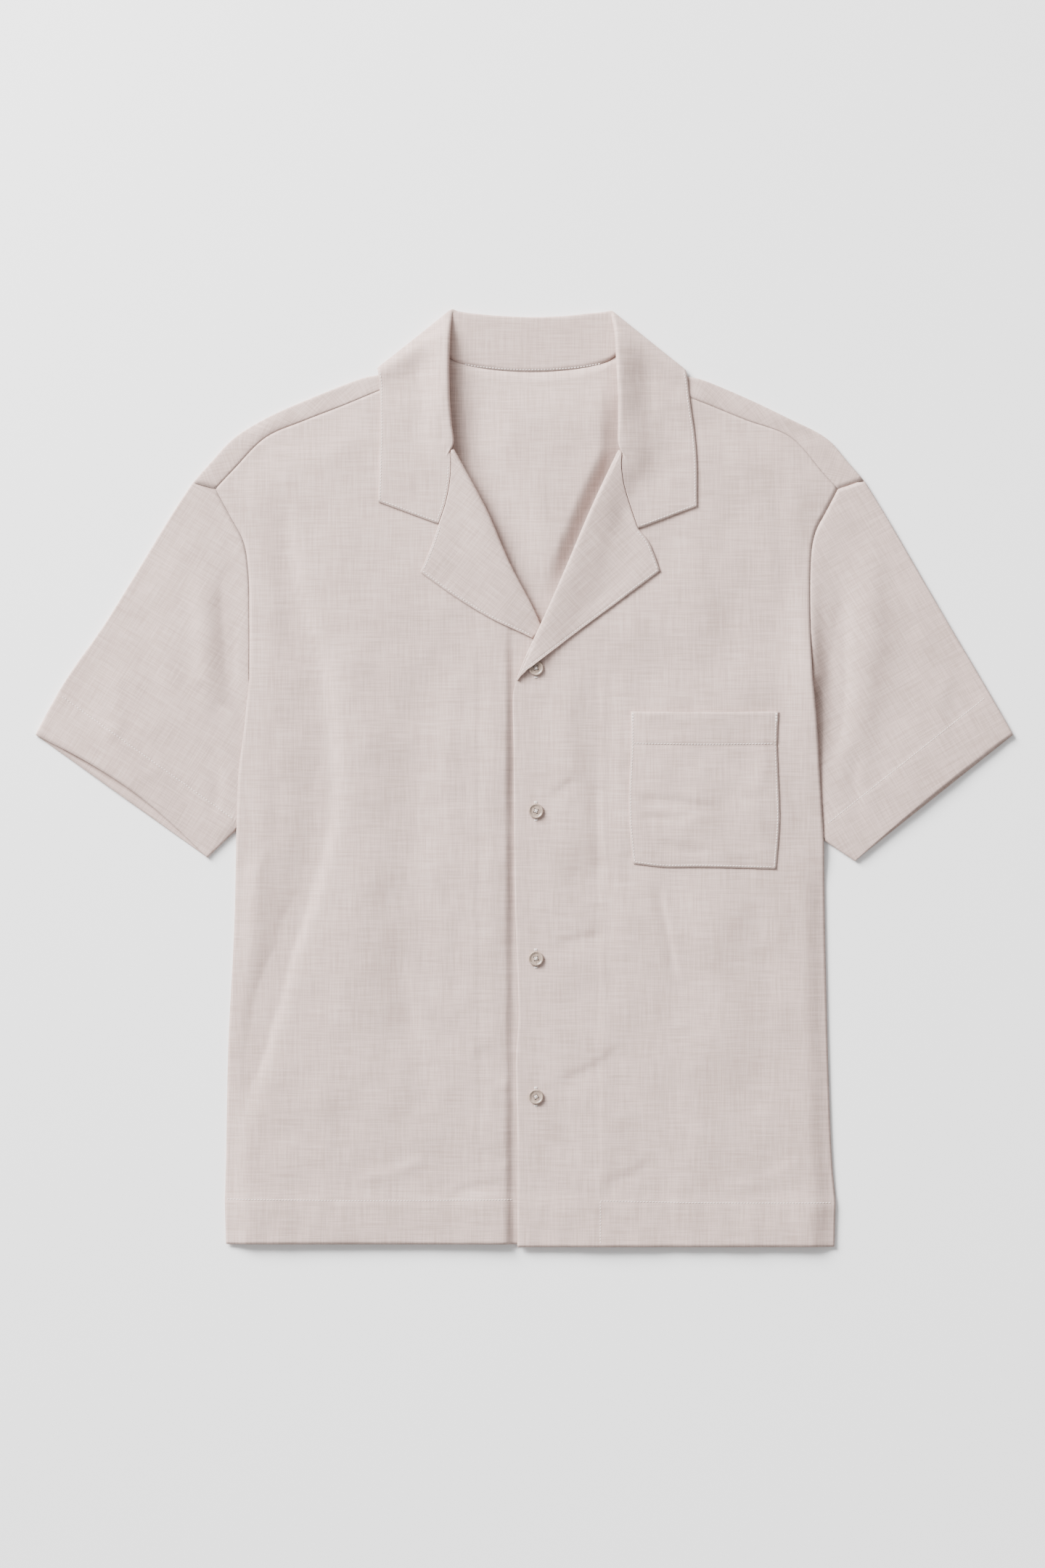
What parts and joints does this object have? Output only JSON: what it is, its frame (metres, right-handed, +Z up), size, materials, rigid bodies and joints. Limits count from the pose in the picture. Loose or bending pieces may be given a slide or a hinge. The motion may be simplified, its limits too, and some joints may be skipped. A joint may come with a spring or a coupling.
{
  "type": "short-sleeved camp-collar shirt",
  "caption": "Button-up shirt with short sleeves and a camp collar, laid flat with the collar open and a patch pocket on the chest.",
  "frame": {"origin": "centre of the bottom face of the bounding box, on the surface that the shirt lies on", "axes": "+Z up off the surface towards the viewer, +Y from the hem to the collar, +X to the viewer's right, which is the wearer's left"},
  "size_m": [0.8364, 0.8008, 0.0125],
  "materials": {
    "cloth": "pale warm grey slub-weave cotton and linen, matt, with a fine crosshatch of thicker yarns",
    "button": "beige horn-like plastic, semi-gloss, slightly translucent at the rim"
  },
  "bodies": {
    "root": {"back": "cloth", "front_right": "cloth", "front_left": "cloth", "collar": "cloth", "sleeve_right": "cloth", "sleeve_left": "cloth", "pocket": "cloth", "button_1": "button", "button_2": "button", "button_3": "button", "button_4": "button"}
  },
  "joints": []
}
